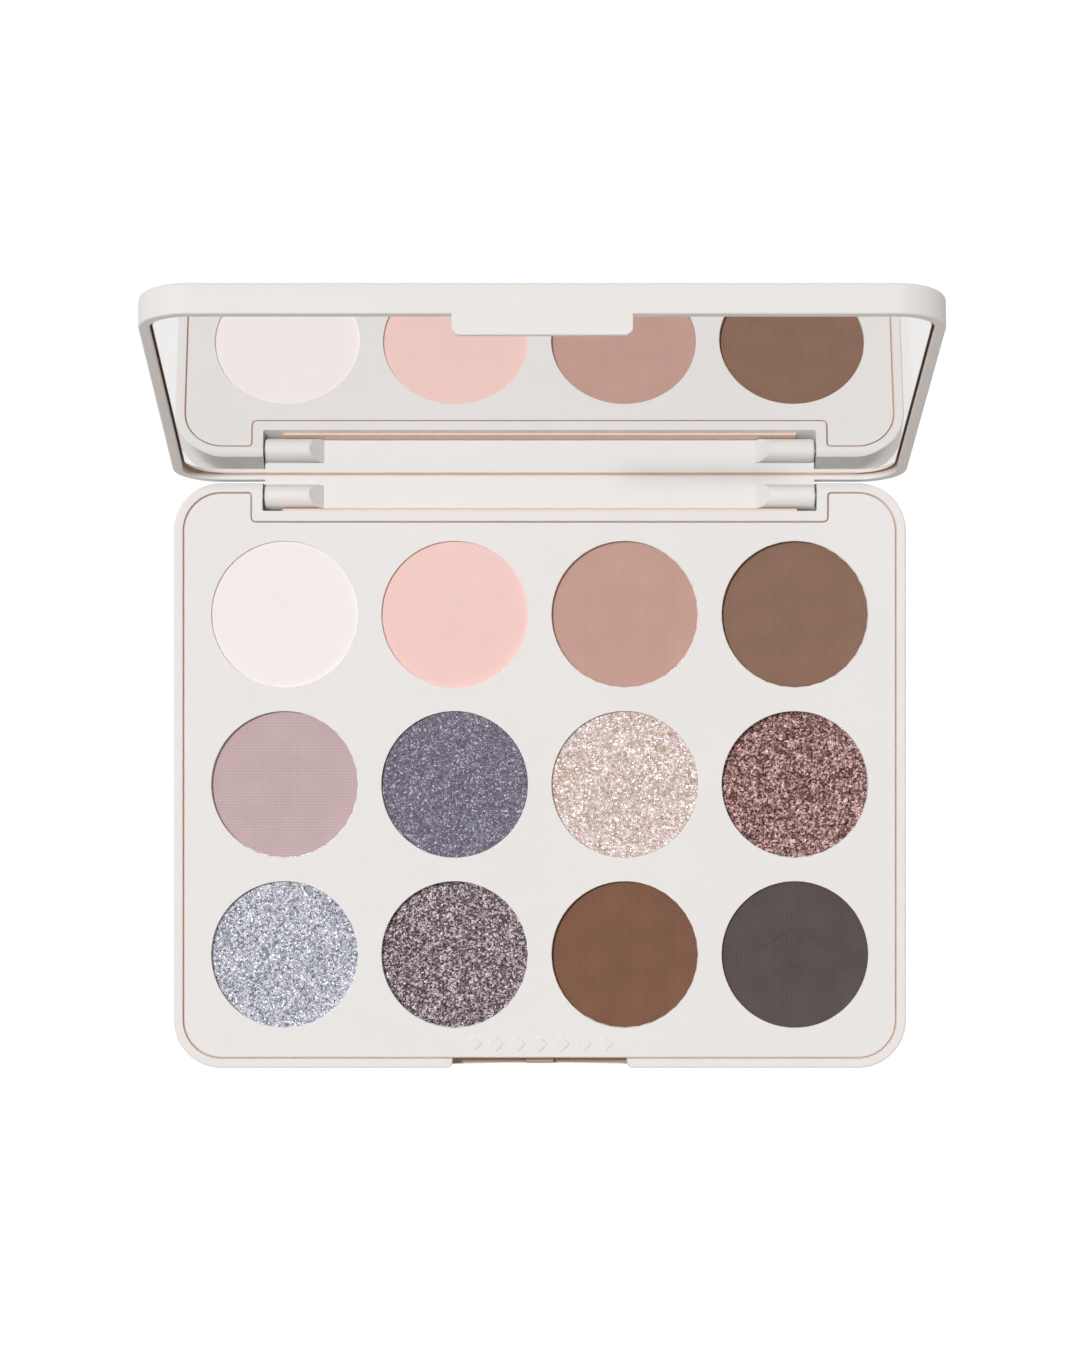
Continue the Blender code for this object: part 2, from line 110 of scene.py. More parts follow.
# Latch
LATCH_HALF_WIDTH = 15.5 * MM
LATCH_END_RADIUS = 1.0 * MM
LATCH_LEDGE = 2.6 * MM
RECESS_DEPTH = 0.45 * MM
RECESS_SWEEP = 700.0 * MM
LEDGE_EDGE_RADIUS = 0.15 * MM
TAB_HALF_WIDTH = 14.5 * MM
TAB_LENGTH = 3.5 * MM
TAB_THICKNESS = 1.0 * MM
TAB_INSET = 0.05 * MM
TAB_CORNER_RADIUS = 1.45 * MM
TAB_EDGE_RADIUS = 0.2 * MM
TAB_SINK = 0.6 * MM
CATCH_WIDTH = 4.9 * MM
CATCH_HEIGHTS = (3.2 * MM, 4.4 * MM)
CATCH_TIP_INSET = 0.55 * MM
CATCH_CORNER_RADIUS = 0.2 * MM
CATCH_EDGE_RADIUS = 0.15 * MM

# Face plate
PLATE_GAP = 0.25 * MM
GAP_DEPTH = 0.45 * MM
GAP_STEP = 0.2 * MM
PLATE_THICKNESS = 0.8 * MM
SKIRT_THICKNESS = 1.2 * MM
STEP_CORNER_RADIUS = 0.7 * MM
LEAST_STEP_RADIUS = 0.1 * MM
APERTURE_RADIUS = 13.0 * MM
APERTURE_EDGE_RADIUS = 0.08 * MM
MOTIF_COUNT = 7
MOTIF_PITCH = 3.9 * MM
MOTIF_SIZE = (1.35 * MM, 1.35 * MM)
MOTIF_RISE = 0.22 * MM
MOTIF_FROM_FRONT = 4.3 * MM
MOTIF_EDGE_RADIUS = 0.08 * MM
MOTIF_SINK = 0.2 * MM

# Powders: how each face is meshed is given as rings and sides
POWDER_OVERLAP = 0.02 * MM
POWDER_EDGE = 0.05 * MM
MARKED_SHADE = "aubergine"
FACE_MESH = {"plain": (20, 144), "glitter": (60, 200), "marked": (110, 300)}
MARK_REACH = (7.6 * MM, 4.9 * MM)
MARK_INNER = (0.50, 0.53)
MARK_OUTER = (0.975, 1.0)
MARK_DEPTH = 0.10 * MM

# Lid, in its own frame
LID_RIM = RIM - AXIS.z + LID_GAP
LID_EDGE_RADIUS = 1.0 * MM
GROOVE_HEIGHT = 0.3 * MM
GROOVE_DEPTH = 0.12 * MM
GROOVE_SLOPE = 0.02 * MM
POCKET_BEHIND_MIRROR = 0.9 * MM
MIRROR_CORNER_RADIUS = 8.2 * MM
MIRROR_CHAMFER = 0.2 * MM

# Studio. The camera sees the floor and the backdrop as white. As light on the palette they are
# dimmer, and mirrors and gloss see the dome no dimmer than DOME_IN_MIRROR.
FLOOR_SIZE = 6.0
FLOOR_CLEARANCE = 0.02 * MM
FLOOR_COLOUR = (0.08, 0.08, 0.08)
FLOOR_GLOW_COLOUR = (1.0, 0.985, 0.97)
FLOOR_GLOW = 0.82
FLOOR_GLOW_TO_CAMERA = 1.03
KEY_DISTANCE = 3.0
KEY_DIRECTION = (-0.28, 0.16, 0.95)
KEY_STRENGTH = 2.07
KEY_ANGLE = 0.10
KEY_COLOUR = (0.965, 1.0, 1.04)
DOME_LEAN = (0.0, 0.6, 0.8)
DOME_DIMMEST = 0.15
DOME_BRIGHTEST = 0.45
DOME_IN_MIRROR = 0.40
DOME_COLOUR = (1.0, 0.90, 0.80)
WHITE = (1.0, 1.0, 1.0, 1.0)

# Camera
SENSOR_WIDTH = 36.0
LENS = 139.44
SHIFT = (0.0170, -0.0089)
CLIP = (0.01, 20.0)
CAMERA_OFFSET = Vector((-4.03, 19.95, 928.0)) * MM

# Fineness
CORNER_STEPS = 24
TAB_CORNER_STEPS = 12
SWEEP_STEPS = 10
LATCH_END_STEPS = 8
SCOOP_STEPS = 24
FILLET_STEPS = 4
WIDE_FILLET_STEPS = 8
BARREL_END_STEPS = 6
APERTURE_EDGE_STEPS = 3
APERTURE_SIDES = 144
ROUND_SIDES = 64
BORE_SIDES = 32
LEAST_RADIUS = 0.02 * MM
SHARP_RADIUS = 0.05 * MM
TOLERANCE = 0.01 * MM
SMOOTH_BELOW = math.radians(32.0)
OVERSHOOT = 1.0 * MM
QUARTER = math.pi / 2

# Which of a piece's materials a face wears; the first is its main one. On the moulded plastic the second is
# painted gap shade and the third painted latch shade; on the mirror the second is its ground edge
PAINTED_GAP_SHADE_FINISH = 1
SHADE_FINISH = 2
EDGE_FINISH = 1


# ---------------------------------------------------------------- outlines and solids


def arc(centre, radius, start, end, steps):
    """Points on an arc from one angle to another, both ends included."""
    return [
        (
            centre[0] + radius * math.cos(start + (end - start) * i / steps),
            centre[1] + radius * math.sin(start + (end - start) * i / steps),
        )
        for i in range(steps + 1)
    ]


def filleted(corners, steps):
    """An outline through corners (x, y, radius), each square corner rounded by its radius."""
    outline = []
    for i, (x, y, radius) in enumerate(corners):
        before = corners[i - 1]
        after = corners[(i + 1) % len(corners)]
        arrive = math.atan2(y - before[1], x - before[0])
        leave = math.atan2(after[1] - y, after[0] - x)
        turn = 1.0 if math.sin(leave - arrive) > 0.0 else -1.0
        centre = (
            x - radius * math.cos(arrive) + radius * math.cos(leave),
            y - radius * math.sin(arrive) + radius * math.sin(leave),
        )
        start = arrive - turn * QUARTER
        outline += arc(centre, radius, start, start + turn * QUARTER, steps)
    return outline


def rectangle(left, right, low, high, radius):
    """An outline function: the rounded rectangle drawn in by an inset."""

    def outline(inset):
        r = max(radius - inset, LEAST_RADIUS)
        return filleted(
            [
                (left + inset, low + inset, r), (right - inset, low + inset, r),
                (right - inset, high - inset, r), (left + inset, high - inset, r),
            ],
            CORNER_STEPS,
        )

    return outline


def tray_outline(extra):
    """An outline function: inside the base's rim, stepped round the hinge notch."""

    def outline(inset):
        d = inset + extra
        side = RIGHT - TRAY_INSET - d
        front = FRONT + TRAY_INSET + d
        rear = REAR - TRAY_INSET - d
        step_x = NOTCH_HALF_WIDTH + NOTCH_WALL + d
        step_y = REAR - NOTCH_DEPTH - NOTCH_WALL - d
        big = CORNER_RADIUS - TRAY_INSET - d
        small = max(STEP_CORNER_RADIUS - d, LEAST_STEP_RADIUS)
        hollow = STEP_CORNER_RADIUS + d
        return filleted(
            [
                (-side, front, big), (side, front, big), (side, rear, big),
                (step_x, rear, small), (step_x, step_y, hollow),
                (-step_x, step_y, hollow), (-step_x, rear, small), (-side, rear, big),
            ],
            CORNER_STEPS,
        )

    return outline


def finished(shape, name):
    """Turns a bmesh into a mesh whose faces point out."""
    bmesh.ops.recalc_face_normals(shape, faces=shape.faces)
    mesh = bpy.data.meshes.new(name)
    shape.to_mesh(mesh)
    shape.free()
    return mesh


def lofted(outline, profile):
    """A solid through outline(inset) at each (inset, height) of a profile, with flat ends."""
    shape = bmesh.new()
    rings = [
        [shape.verts.new((x, y, height)) for x, y in outline(inset)] for inset, height in profile
    ]
    for lower, upper in zip(rings, rings[1:]):
        for i in range(len(lower)):
            j = (i + 1) % len(lower)
            shape.faces.new((lower[i], lower[j], upper[j], upper[i]))
    shape.faces.new(list(reversed(rings[0])))
    shape.faces.new(rings[-1])
    return finished(shape, "loft")


def rounded_low(radius, height, steps=FILLET_STEPS):
    """Profile points that round an edge at the low end."""
    return [
        (radius * (1 - math.sin(a)), height + radius * (1 - math.cos(a)))
        for a in (QUARTER * i / steps for i in range(steps + 1))
    ]


def rounded_high(radius, height, steps=FILLET_STEPS):
    """Profile points that round an edge at the high end."""
    return [(inset, 2 * height - z) for inset, z in reversed(rounded_low(radius, height, steps))]


def flared_high(radius, height, steps=FILLET_STEPS):
    """Profile points of a cutter that leaves a rounded edge where it breaks a top face."""
    flare = [
        (-radius * (1 - math.cos(a)), height - radius + radius * math.sin(a))
        for a in (QUARTER * i / steps for i in range(steps + 1))
    ]
    return flare + [(-radius, height + OVERSHOOT)]


def flared_low(radius, height, steps=FILLET_STEPS):
    """The same where a cutter breaks a bottom face."""
    return [(inset, 2 * height - z) for inset, z in reversed(flared_high(radius, height, steps))]


def across(mesh):
    """Turns a loft in Y and Z so that its height runs along X."""
    mesh.transform(Matrix(((0, 0, 1, 0), (1, 0, 0, 0), (0, 1, 0, 0), (0, 0, 0, 1))))
    return mesh


def circle(radius, sides):
    """An outline function: a circle drawn in by an inset."""

    def outline(inset):
        return arc((0.0, 0.0), radius - inset, 0.0, 2 * math.pi * (sides - 1) / sides, sides - 1)

    return outline


def fixed(points):
    """An outline function that ignores its inset."""
    return lambda inset: points


def combined(mesh, steps):
    """A moulded piece after a list of (other mesh, operation) Booleans.

    Each face keeps the finish that paint() gave it, in the mesh or in the cutter that made it.
    """
    for part in [mesh] + [other for other, operation in steps]:
        # Every part gets the plain plastic, then the painted gap shade and the painted latch shade
        for material in (PLASTIC, GAP_SHADE_PAINT, SHADE_PLASTIC):
            part.materials.append(material)
    target = bpy.data.objects.new("combined", mesh)
    bpy.context.scene.collection.objects.link(target)
    helpers = []
    for other, operation in steps:
        helper = bpy.data.objects.new("helper", other)
        bpy.context.scene.collection.objects.link(helper)
        helpers.append(helper)
        modifier = target.modifiers.new("step", "BOOLEAN")
        modifier.operation = operation
        modifier.object = helper
        modifier.material_mode = "TRANSFER"
    graph = bpy.context.evaluated_depsgraph_get()
    made = bpy.data.meshes.new_from_object(target.evaluated_get(graph))
    for obj in (target, *helpers):
        bpy.data.objects.remove(obj)
    return made


def moved(mesh, offset):
    """A copy of a mesh, shifted."""
    copy = mesh.copy()
    copy.transform(Matrix.Translation(offset))
    return copy


def joined(meshes):
    """Several meshes as one, for one Boolean operand."""
    shape = bmesh.new()
    for mesh in meshes:
        shape.from_mesh(mesh)
    return finished(shape, "joined")


def add_piece(name, mesh, body, materials, nodes):
    """A visible piece that stands for CAD nodes and rides on a body.

    The materials are for a mesh that has none yet.
    """
    obj = bpy.data.objects.new(name, mesh)
    bpy.context.scene.collection.objects.link(obj)
    if not mesh.materials:
        for material in materials:
            mesh.materials.append(material)
    mesh.shade_smooth()
    mesh.set_sharp_from_angle(angle=SMOOTH_BELOW)
    weighted = obj.modifiers.new("normals", "WEIGHTED_NORMAL")
    weighted.keep_sharp = True
    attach(obj, body)
    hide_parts(*nodes)
    return obj


def paint(mesh, finish, chosen):
    """Gives a finish to the faces that chosen(centre, normal) picks."""
    for face in mesh.polygons:
        if chosen(face.center, face.normal):
            face.material_index = finish


def every_face(centre, normal):
    return True


def split_at(mesh, places):
    """Cuts a mesh's faces where they cross the given places along X."""
    shape = bmesh.new()
    shape.from_mesh(mesh)
    for x in places:
        geometry = shape.verts[:] + shape.edges[:] + shape.faces[:]
        bmesh.ops.bisect_plane(shape, geom=geometry, plane_co=(x, 0, 0), plane_no=(1, 0, 0))
    return finished(shape, "split")


# ---------------------------------------------------------------- materials


class Nodes:
    """A material's node tree, with short calls to add and link nodes."""

    def __init__(self, name):
        self.material = bpy.data.materials.new(name)
        self.material.use_nodes = True
        self.tree = self.material.node_tree
        self.shader = self.tree.nodes["Principled BSDF"]
        self.place = self.add("ShaderNodeTexCoord").outputs["Object"]

    def add(self, kind, **settings):
        node = self.tree.nodes.new(kind)
        for key, value in settings.items():
            setattr(node, key, value)
        return node

    def link(self, source, target):
        self.tree.links.new(source, target)

    def set(self, **values):
        for key, value in values.items():
            self.shader.inputs[key.replace("_", " ")].default_value = value

    def math(self, operation, first, second=0.0):
        node = self.add("ShaderNodeMath", operation=operation)
        for socket, value in zip(node.inputs, (first, second)):
            if isinstance(value, (int, float)):
                socket.default_value = value
            else:
                self.link(value, socket)
        return node.outputs[0]

    def noise(self, scale, detail=2.0, roughness=0.5):
        node = self.add("ShaderNodeTexNoise")
        node.inputs["Scale"].default_value = scale
        node.inputs["Detail"].default_value = detail
        node.inputs["Roughness"].default_value = roughness
        self.link(self.place, node.inputs["Vector"])
        return node.outputs["Fac"]

    def cells(self, scale):
        """Random values, one set for each cell of a Voronoi texture."""
        node = self.add("ShaderNodeTexVoronoi")
        node.inputs["Scale"].default_value = scale
        self.link(self.place, node.inputs["Vector"])
        return node.outputs["Color"]

    def ramp(self, factor, stops):
        node = self.add("ShaderNodeValToRGB")
        elements = node.color_ramp.elements
        while len(elements) < len(stops):
            elements.new(0.5)
        for element, (position, colour) in zip(elements, stops):
            element.position = position
            element.color = (*colour, 1.0)
        self.link(factor, node.inputs["Fac"])
        return node.outputs["Color"]

    def spread(self, factor, low, high, to_low, to_high):
        node = self.add("ShaderNodeMapRange")
        for key, value in (("From Min", low), ("From Max", high),
                           ("To Min", to_low), ("To Max", to_high)):
            node.inputs[key].default_value = value
        self.link(factor, node.inputs["Value"])
        return node.outputs["Result"]

    def bump(self, height, strength, distance):
        node = self.add("ShaderNodeBump")
        node.inputs["Strength"].default_value = strength
        node.inputs["Distance"].default_value = distance
        self.link(height, node.inputs["Height"])
        self.link(node.outputs["Normal"], self.shader.inputs["Normal"])

    def wave(self, direction, period, distortion=0.0):
        """A sine across the surface: direction is a unit vector, period a length."""
        dot = self.add("ShaderNodeVectorMath", operation="DOT_PRODUCT")
        dot.inputs[1].default_value = [2 * math.pi / period * x for x in direction]
        self.link(self.place, dot.inputs[0])
        angle = dot.outputs["Value"]
        if distortion:
            angle = self.math("ADD", angle, self.math("MULTIPLY", self.noise(900.0), distortion))
        return self.math("SINE", angle)


def scaled(colour, factor):
    """A colour made lighter or darker, no channel past 1."""
    return tuple(min(channel * factor, 1.0) for channel in colour)


def ivory_plastic(name, colour, roughness=0.52):
    """Satin moulded plastic: faint mottle, uneven gloss, a fine moulded grain."""
    nodes = Nodes(name)
    mottle = nodes.noise(60.0, 4.0)
    tint = nodes.ramp(mottle, [(0.3, scaled(colour, 0.992)), (0.7, scaled(colour, 1.006))])
    nodes.link(tint, nodes.shader.inputs["Base Color"])
    gloss = nodes.spread(nodes.noise(240.0), 0.3, 0.7, roughness - 0.04, roughness + 0.04)
    nodes.link(gloss, nodes.shader.inputs["Roughness"])
    nodes.bump(nodes.noise(9000.0, 3.0), 0.04, 0.01 * MM)
    nodes.set(Specular_IOR_Level=0.38)
    return nodes.material


def matte_powder(name, colour, weave, slant):
    """Pressed powder with the print of the pressing cloth."""
    nodes = Nodes(name)
    threads = nodes.wave((1.0, 0.0, 0.0), 0.46 * MM, 1.5)
    twill = nodes.wave((math.cos(slant), math.sin(slant), 0.0), 0.50 * MM, 1.0)
    cloth = nodes.math("ADD", nodes.math("MULTIPLY", threads, 0.4), nodes.math("MULTIPLY", twill, 0.6))
    grain = nodes.math("SUBTRACT", nodes.noise(6000.0, 3.0, 0.7), 0.5)
    height = nodes.math("ADD", cloth, nodes.math("MULTIPLY", grain, 3.0))
    patch = nodes.math("MULTIPLY", nodes.math("SUBTRACT", nodes.noise(180.0, 3.0), 0.5), 1.6)
    level = nodes.spread(nodes.math("ADD", height, patch), -2.0, 2.0, 0.0, 1.0)
    tint = nodes.ramp(level, [(0.0, scaled(colour, 1 - weave)), (1.0, scaled(colour, 1 + weave))])
    nodes.link(tint, nodes.shader.inputs["Base Color"])
    nodes.bump(height, 0.3, 0.03 * MM)
    nodes.set(Roughness=0.9, Specular_IOR_Level=0.12, Sheen_Weight=0.04, Sheen_Roughness=0.5)
    return nodes.material


def glitter_powder(name, stops, tones, flake, grain, clump, metallic, tilt):
    """Pressed glitter: broad flakes among fine grains, each with its own tone and tilt."""
    nodes = Nodes(name)
    flakes = nodes.add("ShaderNodeSeparateColor")
    nodes.link(nodes.cells(1.0 / flake), flakes.inputs[0])
    cells = nodes.cells(1.0 / grain)
    grains = nodes.add("ShaderNodeSeparateColor")
    nodes.link(cells, grains.inputs[0])
    broad = nodes.math("MULTIPLY", flakes.outputs[0], 0.45)
    fine = nodes.math("MULTIPLY", grains.outputs[0], 0.55)
    patches = nodes.math("MULTIPLY", nodes.math("SUBTRACT", nodes.noise(600.0, 3.0, 0.6), 0.5), clump)
    level = nodes.math("ADD", nodes.math("ADD", broad, fine), patches)
    mix = nodes.add("ShaderNodeMix", data_type="RGBA", blend_type="MULTIPLY")
    mix.inputs["Factor"].default_value = 1.0
    nodes.link(nodes.ramp(level, stops), mix.inputs["A"])
    nodes.link(nodes.ramp(flakes.outputs[1], tones), mix.inputs["B"])
    nodes.link(mix.outputs["Result"], nodes.shader.inputs["Base Color"])
    centred = nodes.add("ShaderNodeVectorMath", operation="SUBTRACT")
    centred.inputs[1].default_value = (0.5, 0.5, 0.5)
    nodes.link(cells, centred.inputs[0])
    swing = nodes.add("ShaderNodeVectorMath", operation="SCALE")
    swing.inputs["Scale"].default_value = tilt
    nodes.link(centred.outputs[0], swing.inputs[0])
    total = nodes.add("ShaderNodeVectorMath", operation="ADD")
    nodes.link(nodes.add("ShaderNodeNewGeometry").outputs["Normal"], total.inputs[0])
    nodes.link(swing.outputs[0], total.inputs[1])
    unit = nodes.add("ShaderNodeVectorMath", operation="NORMALIZE")
    nodes.link(total.outputs[0], unit.inputs[0])
    nodes.link(unit.outputs[0], nodes.shader.inputs["Normal"])
    gloss = nodes.spread(grains.outputs[2], 0.0, 1.0, 0.28, 0.5)
    nodes.link(gloss, nodes.shader.inputs["Roughness"])
    nodes.set(Metallic=metallic)
    return nodes.material


def brushed_metal(name, colour, roughness, streak):
    """Metal with fine drawn streaks."""
    nodes = Nodes(name)
    stretch = nodes.add("ShaderNodeMapping")
    stretch.inputs["Scale"].default_value = streak
    nodes.link(nodes.place, stretch.inputs["Vector"])
    nodes.place = stretch.outputs["Vector"]
    lines = nodes.noise(3000.0, 3.0)
    tint = nodes.ramp(lines, [(0.3, scaled(colour, 0.9)), (0.7, scaled(colour, 1.05))])
    nodes.link(tint, nodes.shader.inputs["Base Color"])
    gloss = nodes.spread(lines, 0.3, 0.7, roughness - 0.06, roughness + 0.08)
    nodes.link(gloss, nodes.shader.inputs["Roughness"])
    nodes.bump(lines, 0.15, 0.02 * MM)
    nodes.set(Metallic=1.0)
    return nodes.material


def foam(name, colour):
    """Closed-cell adhesive foam."""
    nodes = Nodes(name)
    bubbles = nodes.noise(2600.0, 4.0, 0.7)
    tint = nodes.ramp(bubbles, [(0.35, scaled(colour, 0.86)), (0.65, scaled(colour, 1.04))])
    nodes.link(tint, nodes.shader.inputs["Base Color"])
    nodes.bump(bubbles, 0.4, 0.08 * MM)
    nodes.set(Roughness=0.9, Specular_IOR_Level=0.2)
    return nodes.material


def silvered_glass(name):
    """The mirror's face: clean silver with the faintest uneven haze."""
    nodes = Nodes(name)
    haze = nodes.noise(45.0, 5.0, 0.65)
    tint = nodes.ramp(haze, [(0.3, (0.935, 0.935, 0.933)), (0.7, (0.945, 0.945, 0.943))])
    nodes.link(tint, nodes.shader.inputs["Base Color"])
    gloss = nodes.spread(haze, 0.45, 0.8, 0.0, 0.012)
    nodes.link(gloss, nodes.shader.inputs["Roughness"])
    nodes.set(Metallic=1.0)
    return nodes.material


def glass_edge(name):
    """The mirror's ground edge and its painted back."""
    nodes = Nodes(name)
    ground = nodes.noise(4000.0, 4.0, 0.7)
    tint = nodes.ramp(ground, [(0.35, (0.42, 0.35, 0.31)), (0.65, (0.52, 0.44, 0.39))])
    nodes.link(tint, nodes.shader.inputs["Base Color"])
    nodes.bump(ground, 0.3, 0.03 * MM)
    nodes.set(Roughness=0.5)
    return nodes.material


# All the plastic is one ivory. The other two colours are painted shade, not lit: the warm one is
# painted shade in the gaps round the plate, on the hinge notch's sill and in the lid's pocket, warmed
# for light that has passed through the plastic beside a gap; the brown one is painted shade on the latch's ledge
# and catch.
IVORY = (0.821, 0.799, 0.782)
IVORY_PAINTED_GAP_SHADE = (0.82, 0.63, 0.51)
IVORY_IN_SHADE = (0.42, 0.31, 0.24)
PLASTIC = ivory_plastic("ivory_plastic", IVORY)
GAP_SHADE_PAINT = ivory_plastic("ivory_plastic_painted_gap_shade", IVORY_PAINTED_GAP_SHADE, 0.6)
SHADE_PLASTIC = ivory_plastic("ivory_plastic_in_shade", IVORY_IN_SHADE, 0.6)
MIRROR_FACE = silvered_glass("mirror_silver")
MIRROR_EDGE = glass_edge("mirror_ground_edge")
PAN_METAL = brushed_metal("pan_metal", (0.70, 0.70, 0.71), 0.34, (1.0, 1.0, 0.1))
PIN_METAL = brushed_metal("pin_steel", (0.62, 0.62, 0.63), 0.26, (0.1, 1.0, 1.0))
ADHESIVE = foam("adhesive_foam", (0.75, 0.73, 0.68))

MATTE = {
    "shell": ((0.945, 0.875, 0.865), 0.03, 1.9),
    "blush": ((0.915, 0.635, 0.590), 0.09, 1.9),
    "taupe": ((0.573, 0.354, 0.298), 0.17, 1.2),
    "cocoa": ((0.269, 0.158, 0.114), 0.30, 1.9),
    "mauve": ((0.578, 0.433, 0.440), 0.20, 1.57),
    "chestnut": ((0.223, 0.112, 0.071), 0.42, 1.9),
    "aubergine": ((0.110, 0.085, 0.087), 0.45, 2.2),
}
NEUTRAL_TONES = [(0.0, (1.0, 0.96, 0.92)), (0.5, (1.0, 0.98, 1.0)), (1.0, (0.96, 0.97, 1.0))]
PINK_TONES = [(0.0, (1.0, 0.86, 0.78)), (0.5, (1.0, 0.95, 0.98)), (1.0, (0.95, 0.95, 1.0))]
GLITTER = {
    "slate": dict(
        stops=[(0.10, (0.078, 0.070, 0.104)), (0.60, (0.128, 0.113, 0.162)),
               (0.80, (0.25, 0.235, 0.31)), (0.92, (0.90, 0.91, 0.96))],
        tones=NEUTRAL_TONES, flake=0.34 * MM, grain=0.17 * MM, clump=0.25, metallic=0.2, tilt=0.5,
    ),
    "champagne": dict(
        stops=[(0.10, (0.38, 0.29, 0.22)), (0.45, (0.60, 0.48, 0.40)),
               (0.70, (0.80, 0.68, 0.72)), (0.90, (1.0, 0.97, 1.0))],
        tones=NEUTRAL_TONES, flake=0.45 * MM, grain=0.20 * MM, clump=0.5, metallic=0.3, tilt=0.6,
    ),
    "copper": dict(
        stops=[(0.15, (0.020, 0.006, 0.004)), (0.42, (0.11, 0.035, 0.025)),
               (0.62, (0.44, 0.235, 0.21)), (0.85, (1.0, 0.82, 0.86))],
        tones=PINK_TONES, flake=0.40 * MM, grain=0.19 * MM, clump=0.45, metallic=0.3, tilt=0.7,
    ),
    "silver": dict(
        stops=[(0.12, (0.08, 0.09, 0.115)), (0.42, (0.31, 0.33, 0.39)),
               (0.66, (0.66, 0.68, 0.76)), (0.88, (1.0, 1.0, 1.0))],
        tones=NEUTRAL_TONES, flake=0.32 * MM, grain=0.18 * MM, clump=0.3, metallic=0.3, tilt=0.6,
    ),
    "plum": dict(
        stops=[(0.15, (0.010, 0.006, 0.008)), (0.44, (0.075, 0.050, 0.060)),
               (0.63, (0.36, 0.29, 0.325)), (0.85, (1.0, 0.94, 1.0))],
        tones=PINK_TONES, flake=0.34 * MM, grain=0.18 * MM, clump=0.35, metallic=0.3, tilt=0.7,
    ),
}


# ---------------------------------------------------------------- base shell


def rear_edge_cutter():
    """Rounds the base's rear top edge about the hinge axis, so that the lid's rim swings past."""
    start = math.asin((RIM - AXIS.z) / REAR_EDGE_SWEEP)
    end = math.acos((REAR - AXIS.y) / REAR_EDGE_SWEEP)
    points = arc((AXIS.y, AXIS.z), REAR_EDGE_SWEEP, start, end, SWEEP_STEPS)
    top = RIM + OVERSHOOT
    back = REAR + OVERSHOOT
    points += [(back, points[-1][1]), (back, top), (points[0][0], top)]
    return across(lofted(fixed(points), [(0.0, LEFT - OVERSHOOT), (0.0, RIGHT + OVERSHOOT)]))


def latch_end(side, radius, start):
    """The rounded end of the front wall where the latch notch breaks it."""
    centre = (side * (LATCH_HALF_WIDTH + LATCH_END_RADIUS), FRONT + LATCH_END_RADIUS)
    points = arc(centre, radius, start, -QUARTER, LATCH_END_STEPS)
    if side > 0:
        points = [(2 * centre[0] - x, y) for x, y in points]
    return points


def latch_notch_outline(inset):
    """The notch that the lid's tab drops into."""
    inner = FRONT + TRAY_INSET + PLATE_GAP / 2 - min(inset, 0.0)
    left = latch_end(-1.0, LATCH_END_RADIUS + inset, 0.0)
    right = latch_end(1.0, LATCH_END_RADIUS + inset, 0.0)
    outside = FRONT - OVERSHOOT
    return (
        [(left[0][0], inner)] + left + [(left[-1][0], outside), (right[-1][0], outside)]
        + right[::-1] + [(right[0][0], inner)]
    )


def recess_outline(inset):
    """The finger recess under the tab, a shallow scoop in plan."""
    depth_at_end = RECESS_DEPTH - LATCH_HALF_WIDTH**2 / (2 * RECESS_SWEEP)
    start = -math.asin(1.0 - depth_at_end / LATCH_END_RADIUS)
    left = latch_end(-1.0, LATCH_END_RADIUS, start)
    right = latch_end(1.0, LATCH_END_RADIUS, start)
    outside = FRONT - OVERSHOOT
    scoop = []
    for i in range(1, SCOOP_STEPS):
        x = right[0][0] * (1 - 2 * i / SCOOP_STEPS)
        scoop.append((x, FRONT + RECESS_DEPTH - x * x / (2 * RECESS_SWEEP) - inset))
    return (
        left + [(left[-1][0], outside), (right[-1][0], outside)] + right[::-1] + scoop
    )


def tray_cutter():
    """Hollows the base, with a shallow ledge in the gap round the plate."""
    ledge = RIM - GAP_DEPTH
    profile = [(GAP_STEP, FLOOR_TOP), (GAP_STEP, ledge - GAP_STEP), (0.0, ledge)]
    mesh = lofted(tray_outline(0.0), profile + flared_high(INNER_EDGE_RADIUS, RIM))
    rounded_from = RIM - INNER_EDGE_RADIUS
    # The gap's walls and ledge below the rounded edge get the painted gap shade
    paint(mesh, PAINTED_GAP_SHADE_FINISH, lambda centre, normal: FLOOR_TOP < centre.z < rounded_from)
    return mesh


def hinge_notch_cutter():
    outline = rectangle(
        -NOTCH_HALF_WIDTH, NOTCH_HALF_WIDTH, REAR - NOTCH_DEPTH, REAR + 2 * OVERSHOOT,
        NOTCH_CORNER_RADIUS,
    )
    return lofted(outline, [(0.0, NOTCH_FLOOR)] + flared_high(INNER_EDGE_RADIUS, RIM))


def sill_mesh():
    """A thin sill along the front wall of the hinge notch, painted all over with the painted gap shade."""
    wall = REAR - NOTCH_DEPTH
    outline = rectangle(
        -SILL_HALF_WIDTH, SILL_HALF_WIDTH, wall - SILL_SINK, wall + SILL_WIDTH, SHARP_RADIUS
    )
    mesh = lofted(outline, [(0.0, NOTCH_FLOOR - SILL_SINK), (0.0, RIM - SILL_DEPTH)])
    paint(mesh, PAINTED_GAP_SHADE_FINISH, every_face)
    return mesh


def latch_notch_cutter():
    mesh = lofted(latch_notch_outline, [(0.0, LATCH_LEDGE)] + flared_high(INNER_EDGE_RADIUS, RIM))
    # The ledge's floor gets the painted latch shade
    paint(mesh, SHADE_FINISH, lambda centre, normal: normal.z < -0.9)
    return mesh


def recess_cutter():
    ledge = flared_high(LEDGE_EDGE_RADIUS, LATCH_LEDGE)
    return lofted(recess_outline, [(0.0, BOTTOM - OVERSHOOT)] + ledge)


